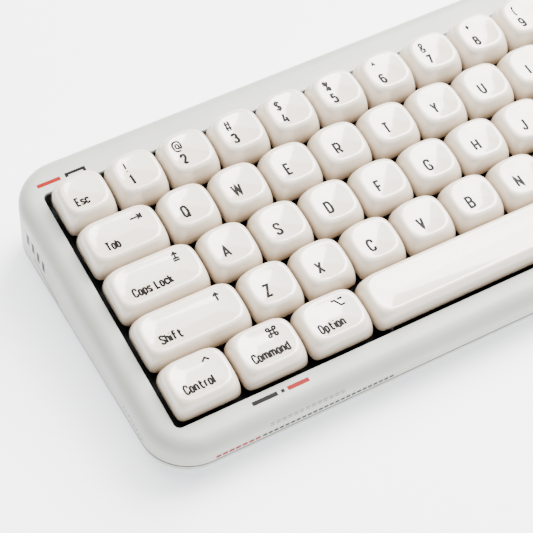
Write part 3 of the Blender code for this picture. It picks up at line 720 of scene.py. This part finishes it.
def make_bottom_case(surface):
    """The lower tray, skinned from the inside of its floor over its rim and down around the outside."""
    inner = []
    outer = []
    inner_round = BASE_ROUND - WALL
    for angle in arc(10):
        inner.append(case_loop(
            WALL + inner_round * (1 - math.cos(angle)),
            above_base(FLOOR + (BASE_ROUND - FLOOR) * (1 - math.sin(angle)))))
        outer.append(case_loop(
            BASE_ROUND * (1 - math.cos(angle)), above_base(BASE_ROUND * (1 - math.sin(angle)))))
    bm = bmesh.new()
    add_loft(bm, inner[::-1] + outer)
    shell = cut(mesh_of(bm, "case_lower_shell"), base_cutters())
    new_object("case_lower_shell", shell, surface, "case", "bottom_case")


# ---- Keycaps ----

def cap_outline(half, squareness, stretch, z):
    """A squircle of this half size, pulled apart along x by stretch each way."""
    loop = []
    for index in range(CAP_POINTS):
        angle = 2 * math.pi * (index + 0.5) / CAP_POINTS
        c = math.cos(angle)
        s = math.sin(angle)
        x = math.copysign(abs(c) ** (2 / squareness) * half, c)
        y = math.copysign(abs(s) ** (2 / squareness) * half, s)
        loop.append(Vector((x + math.copysign(stretch, c), y, z)))
    return loop


def cap_profile(height):
    """Inset, height and squareness of each loop, up the side, over the rounded edge and into the dish."""
    side_top = height - EDGE_RADIUS
    # The lean at the top of the side and the side's height depend on each other, so they settle in turns
    for _ in range(8):
        lean = math.atan(SIDE_LEAN * SIDE_BULGE / side_top)
        side_top = height - EDGE_RADIUS * (1 - math.sin(lean))
    levels = list(SKIRT_EDGE)
    side_steps = 9
    for step in range(1, side_steps + 1):
        share = step / side_steps
        levels.append((SIDE_LEAN * share ** SIDE_BULGE, side_top * share))
    end = math.pi / 2 + DISH_SLOPE
    edge_steps = 10
    for step in range(1, edge_steps + 1):
        angle = lean + (end - lean) * step / edge_steps
        inset = SIDE_LEAN + EDGE_RADIUS * (math.cos(lean) - math.cos(angle))
        levels.append((inset, side_top + EDGE_RADIUS * (math.sin(angle) - math.sin(lean))))
    profile = [
        (inset, z, BASE_SQUARENESS + (TOP_SQUARENESS - BASE_SQUARENESS) * z / height) for inset, z in levels
    ]
    rim_inset, rim_z = levels[-1]
    half = (PITCH - CAP_GAP) / 2
    reach = half - rim_inset
    for share in DISH_RINGS:
        drop = reach / 2 * math.tan(DISH_SLOPE) * (1 - share ** 2)
        squareness = DISH_SQUARENESS + (TOP_SQUARENESS - DISH_SQUARENESS) * share
        profile.append((half - reach * share, rim_z - drop, squareness))
    return profile


def keycap_mesh(name, width, height):
    """The shell of one keycap, dished above and hollow below, about the middle of its skirt's lower edge."""
    half = (PITCH - CAP_GAP) / 2
    stretch = (width - 1) * PITCH / 2
    outside = [
        cap_outline(half - inset, squareness, stretch, z) for inset, z, squareness in cap_profile(height)
    ]
    ceiling = height - CAP_ROOF
    inside = [
        cap_outline(half - CAP_WALL - inset, squareness, stretch, ceiling * share)
        for inset, squareness, share in CAP_HOLLOW
    ]
    bm = bmesh.new()
    add_loft(bm, inside[::-1] + outside)
    return mesh_of(bm, name)


def slider_mesh(name, height):
    """The switch's slider under the cap: a square post with a wider shoulder at its top."""
    shoulder, neck = SLIDER_SHOULDER
    foot, tip = SLIDER_END
    levels = (
        (SLIDER_SHOULDER_HALF, height - CAP_ROOF), (SLIDER_SHOULDER_HALF, shoulder), (SLIDER_HALF, neck),
        (SLIDER_HALF, foot), (SLIDER_HALF * 0.8, tip),
    )
    bm = bmesh.new()
    add_loft(bm, [
        [Vector((x, y, z)) for x, y in rounded_rectangle(-size, size, -size, size, size / 4, 4)]
        for size, z in levels
    ])
    return mesh_of(bm, name)


def height_map(mesh):
    """A function that gives the height of a mesh's upper side from x and y."""
    bm = bmesh.new()
    bm.from_mesh(mesh)
    tree = BVHTree.FromBMesh(bm)
    bm.free()
    down = Vector((0, 0, -1))
    return lambda x, y: tree.ray_cast(Vector((x, y, PROBE_HEIGHT)), down)[0].z


# ---- Legends ----

def smoothed(points):
    """Cuts a line's corners a few times, which leaves a curve with the same ends. A loop stays closed."""
    closed = points[0] == points[-1]
    for _ in range(CORNER_CUTS):
        fine = []
        for start, end in zip(points, points[1:]):
            fine += [start.lerp(end, 0.25), start.lerp(end, 0.75)]
        points = fine + [fine[0]] if closed else [points[0]] + fine + [points[-1]]
    return points


def strokes_of(text):
    """The strokes in a glyph's text, as lists of points on its grid."""
    lines = []
    for stroke in filter(None, (part.strip() for part in text.split(";"))):
        numbers = [float(number) for number in stroke.lstrip("~").split()]
        points = [Vector((x, y, 0)) for x, y in zip(numbers[::2], numbers[1::2])]
        lines.append(smoothed(points) if stroke.startswith("~") else points)
    return lines


def divided(line, longest):
    """The line with points added so that no piece of it is longer than this."""
    fine = [line[0]]
    for start, end in zip(line, line[1:]):
        pieces = max(1, math.ceil((end - start).length / longest))
        fine += [start.lerp(end, step / pieces) for step in range(1, pieces + 1)]
    return fine


def ribbon(bm, line, width):
    """A flat strip along a line, with mitred corners."""
    line = divided(line, RIBBON_STEP)
    closed = (line[0] - line[-1]).length < 0.001 * MM
    if closed:
        line = line[:-1]
    sides = []
    for index, point in enumerate(line):
        before = line[index - 1] if index or closed else point
        after = line[(index + 1) % len(line)] if index + 1 < len(line) or closed else point
        inward = (point - before).normalized()
        outward = (after - point).normalized()
        along = (inward + outward).normalized()
        turn = max(MITRE_LIMIT, along.dot(outward if outward.length else inward))
        across = Vector((-along.y, along.x, 0)) * width / 2 / turn
        sides.append((bm.verts.new(point + across), bm.verts.new(point - across)))
    if closed:
        sides.append(sides[0])
    for (a, b), (c, d) in zip(sides, sides[1:]):
        bm.faces.new((a, b, d, c))


def word_lines(text, height, squeeze):
    """The strokes of a word in metres, with its left foot at 0, 0, and its width."""
    unit = height / CAPITAL_HEIGHT
    lines = []
    left = 0
    for character in text:
        strokes = strokes_of(GLYPHS[character])
        xs = [point.x for line in strokes for point in line] or [0, BLANK_WIDTH]
        for line in strokes:
            lines.append([
                Vector(((left + (point.x - min(xs)) * squeeze) * unit, point.y * unit, 0)) for point in line
            ])
        left += (max(xs) - min(xs)) * squeeze + GLYPH_SPACE
    return lines, (left - GLYPH_SPACE) * unit


def moved(lines, x, y):
    """The lines, shifted by x, y."""
    shift = Vector((x, y, 0))
    return [[point + shift for point in line] for line in lines]


def centred_word(text, height, squeeze, place):
    """The strokes of a word about a place on the key."""
    lines, width = word_lines(text, height, squeeze)
    return moved(lines, place[0] - width / 2, place[1] - height / 2)


def symbol_lines(name, x, y):
    """The strokes of a drawn symbol about x, y."""
    unit = SHIFTED_HEIGHT / CAPITAL_HEIGHT
    return moved([[point * unit for point in line] for line in strokes_of(SYMBOLS[name])], x, y)


def letter_stroke(character):
    """Letters with many strokes side by side are drawn finer, so that they don't fill in."""
    return CROWDED_STROKE if character in CROWDED else LETTER_STROKE


def legend_ribbons(bm, width, legend):
    """Draws a key's legends as flat strips, about the key's middle."""
    left = -width * PITCH / 2
    small_key = width == 1
    if len(legend) == 1:
        groups = [(centred_word(legend, LETTER_HEIGHT, LETTER_SQUEEZE, LETTER_PLACE), letter_stroke(legend))]
    elif len(legend) == 2 and legend not in TWO_LETTER_WORDS:
        groups = [
            (centred_word(legend[0], DIGIT_HEIGHT, DIGIT_SQUEEZE, DIGIT_PLACE), letter_stroke(legend[0])),
            (centred_word(legend[1], SHIFTED_HEIGHT, LETTER_SQUEEZE, SHIFTED_PLACE), SYMBOL_STROKE),
        ]
    elif legend in SYMBOLS and small_key and legend != "Shift":
        groups = [(symbol_lines(legend, 0, 0), SYMBOL_STROKE)]
    else:
        word, _ = word_lines(legend, WORD_HEIGHT, WORD_SQUEEZE)
        start = left + (WORD_LEFT if width < 1.5 else WIDE_WORD_LEFT)
        groups = [(moved(word, start, WORD_Y - WORD_HEIGHT / 2), WORD_STROKE)]
        if legend in SYMBOLS:
            groups.append((symbol_lines(legend, -left - SYMBOL_RIGHT, SYMBOL_Y), SYMBOL_STROKE))
    for lines, stroke in groups:
        for line in lines:
            ribbon(bm, line, stroke)


def ink_solid(bm, name, height_of):
    """Lays flat strips on a surface as a thin closed print, a little proud of it and rooted below it."""
    for vertex in bm.verts:
        vertex.co.z = height_of(vertex.co.x, vertex.co.y) - INK_DEEP
    made = bmesh.ops.extrude_face_region(bm, geom=bm.faces[:])
    for item in made["geom"]:
        if isinstance(item, bmesh.types.BMVert):
            item.co.z += INK_DEEP + INK_PROUD
    return mesh_of(bm, name)


def make_keys(cap_surface, ink, slider_surface):
    """Every keycap with its slider and its legend. Keycaps of one width and height share their shape."""
    nodes = {name: node for node, names in JOINED_KEYS.items() for name in names}
    meshes = {}
    for row, (keys, height) in enumerate(zip(KEY_ROWS, CAP_HEIGHTS)):
        left = 0
        for name, width, legend in keys:
            node = nodes.get(name, f"key_{name}")
            middle = Vector(((left + width / 2) * PITCH, (ROWS - row - 0.5) * PITCH, SKIRT_Z))
            place = DECK @ Matrix.Translation(middle)
            left += width
            if (width, height) not in meshes:
                made = keycap_mesh(f"keycap_{width}", width, height)
                meshes[width, height] = (made, height_map(made))
            shape, height_of = meshes[width, height]
            cap = shape.copy()
            cap.transform(place)
            new_object(f"keycap_{name}", cap, cap_surface, f"{node}_body", node, 50)
            slider = slider_mesh(f"slider_{name}", height)
            slider.transform(place)
            new_object(f"slider_{name}", slider, slider_surface, f"{node}_body")
            if legend:
                strips = bmesh.new()
                legend_ribbons(strips, width, legend)
                print_mesh = ink_solid(strips, f"legend_{name}", height_of)
                print_mesh.transform(place)
                new_object(f"legend_{name}", print_mesh, ink, f"{node}_body", None, 30)


# ---- Marks on the case, as plain bars ----

def print_on_case(name, shell, place, lines, stroke, surface):
    """Prints lines on the case, in millimetres, in a frame whose z points out of the case."""
    local = shell.copy()
    local.transform(place.inverted())
    strips = bmesh.new()
    for line in lines:
        ribbon(strips, [Vector((x, y, 0)) * MM for x, y in line], stroke * MM)
    mesh = ink_solid(strips, name, height_map(local))
    bpy.data.meshes.remove(local)
    mesh.transform(place)
    new_object(name, mesh, surface, "case", None, 30)


def dashes(start, end, y, dash, space):
    """Short lines side by side, in the place of small print."""
    lines = []
    while start + dash < end:
        lines.append([(start, y), (start + dash, y)])
        start += dash + space
    return lines


def make_marks(shell, ink, red):
    """Plain bars and dashes in the place of words on the case, in millimetres."""
    front = DECK @ Matrix.Translation((0, FRONT_Y, 0)) @ Matrix.Rotation(math.pi / 2, 4, "X")
    outward = Matrix(((0, 0, -1), (-1, 0, 0), (0, 1, 0))).to_4x4()
    left = DECK @ Matrix.Translation((-OPENING_GAP - BEZEL_SIDE, 0, 0)) @ outward
    row = -3.8
    rear = GRID_Y / MM + 4.6
    low = -8.8
    bold = 1.5
    thin = 0.7
    bracket = [(9.7, rear - 0.9), (9.7, rear + 0.5), (16.1, rear + 0.5), (16.1, rear - 0.9)]
    side_bars = [[(-y, -15.0), (-y, -9.5)] for y in (90, 86, 82, 78)]
    marks = (
        ("mark_bezel_bar", DECK, [[(23.7, row), (32.6, row)]], bold, ink),
        ("mark_bezel_dot", DECK, [[(33.9, row), (35.1, row)]], 1.2, ink),
        ("mark_bezel_red_bar", DECK, [[(36.2, row), (43.8, row)]], bold, red),
        ("mark_rear_red_bar", DECK, [[(-1.0, rear), (7.4, rear)]], bold, red),
        ("mark_rear_bracket", DECK, [bracket], 1.1, ink),
        ("mark_front_fine_print", front, dashes(26.6, 54.3, -4.2, dash=1.5, space=0.6), 1.1, ink),
        ("mark_front_red_print", front, dashes(7.7, 23.6, low, dash=1.8, space=0.5), bold, red),
        ("mark_front_print", front, dashes(24.1, 73.1, low, dash=1.5, space=0.5), 1.3, ink),
        ("mark_left_bars", left, side_bars, 2.0, ink),
        ("mark_left_line", left, [[(-86, -18.2), (-69, -19.4)]], thin, ink),
        ("mark_left_red_end", left, [[(-69, -19.4), (-67, -19.5)]], thin, red),
        ("mark_left_fine_print", left, dashes(-19, -5, -10.5, dash=1.0, space=0.8), thin, ink),
    )
    for name, place, lines, stroke, surface in marks:
        print_on_case(name, shell, place, lines, stroke, surface)


# ---- Stage ----

def make_floor():
    """A bright white floor just under the feet."""
    bm = bmesh.new()
    bmesh.ops.create_grid(bm, x_segments=1, y_segments=1, size=FLOOR_HALF)
    bmesh.ops.translate(bm, verts=bm.verts, vec=(0, 0, -FLOOR_DROP))
    mesh = bpy.data.meshes.new("floor")
    bm.to_mesh(mesh)
    bm.free()
    floor = bpy.data.objects.new("floor", mesh)
    bpy.context.scene.collection.objects.link(floor)
    made, _, shader = new_material("floor_white", FLOOR_COLOR, 0.6)
    shader.inputs["Emission Color"].default_value = (0.92, 0.94, 1.0, 1)
    shader.inputs["Emission Strength"].default_value = FLOOR_GLOW
    mesh.materials.append(made)


def area_light(name, place, along, size, power, color=(1, 1, 1)):
    """A softbox aimed at the origin, with its first side as near as it can be to the direction along."""
    data = bpy.data.lights.new(name, "AREA")
    data.shape = "RECTANGLE"
    data.size, data.size_y = size
    data.energy = power
    data.color = color
    light = bpy.data.objects.new(name, data)
    back = Vector(place).normalized()
    side = Vector(along)
    side = (side - side.dot(back) * back).normalized()
    turn = Matrix((side, back.cross(side), back)).transposed().to_4x4()
    light.matrix_world = Matrix.Translation(place) @ turn
    bpy.context.scene.collection.objects.link(light)


def make_lights():
    """A dim even sky, a softbox above and a stronger one at the right."""
    world = bpy.data.worlds.new("studio")
    bpy.context.scene.world = world
    world.use_nodes = True
    background = world.node_tree.nodes["Background"]
    background.inputs["Color"].default_value = (*SKY_COLOR, 1)
    background.inputs["Strength"].default_value = SKY_STRENGTH
    right = Vector((math.cos(CAMERA_AZIMUTH), math.sin(CAMERA_AZIMUTH), 0))
    area_light("softbox_above", place=(-0.05, 0.10, 1.30), along=right, size=(1.1, 1.1), power=34)
    area_light(
        "softbox_right", place=(0.81, 0.31, 1.09), along=right, size=(0.9, 1.2), power=98,
        color=(1.0, 0.985, 0.96),
    )


make_camera()
ivory = keycap_material()
grey = case_material("case_satin", *CASE_SHADES)
base_grey = case_material("case_base_satin", *BASE_SHADES)
ink = plain_material("legend_ink")
red = plain_material("mark_red")
black = plain_material("plate_black")
shade = plain_material("well_shade")
for dark in (ink, red, black):
    dark.node_tree.nodes["Principled BSDF"].inputs["Specular IOR Level"].default_value = DARK_SPECULAR
rubber = plain_material("foot_rubber")
steel = plain_material("steel", metallic=1.0)
board = plain_material("board_green")
wrap = plain_material("battery_wrap")

upper_shell = make_top_case(grey)
make_bottom_case(base_grey)
# A dark sheet of painted shade on the walls of the key well
make_painted_well_shade(shade)
make_port(steel, black)
make_screws(steel)
make_feet(rubber)
make_marks(upper_shell, ink, red)
make_keys(ivory, ink, black)

for node, surface in {
    "switch_plate": black, "circuit_board": board, "battery": wrap, "spacebar_stabiliser_wire": steel,
}.items():
    obj = frame["nodes"][node]
    obj.data.materials.clear()
    obj.data.materials.append(surface)

make_floor()
make_lights()

bpy.context.view_layer.update()
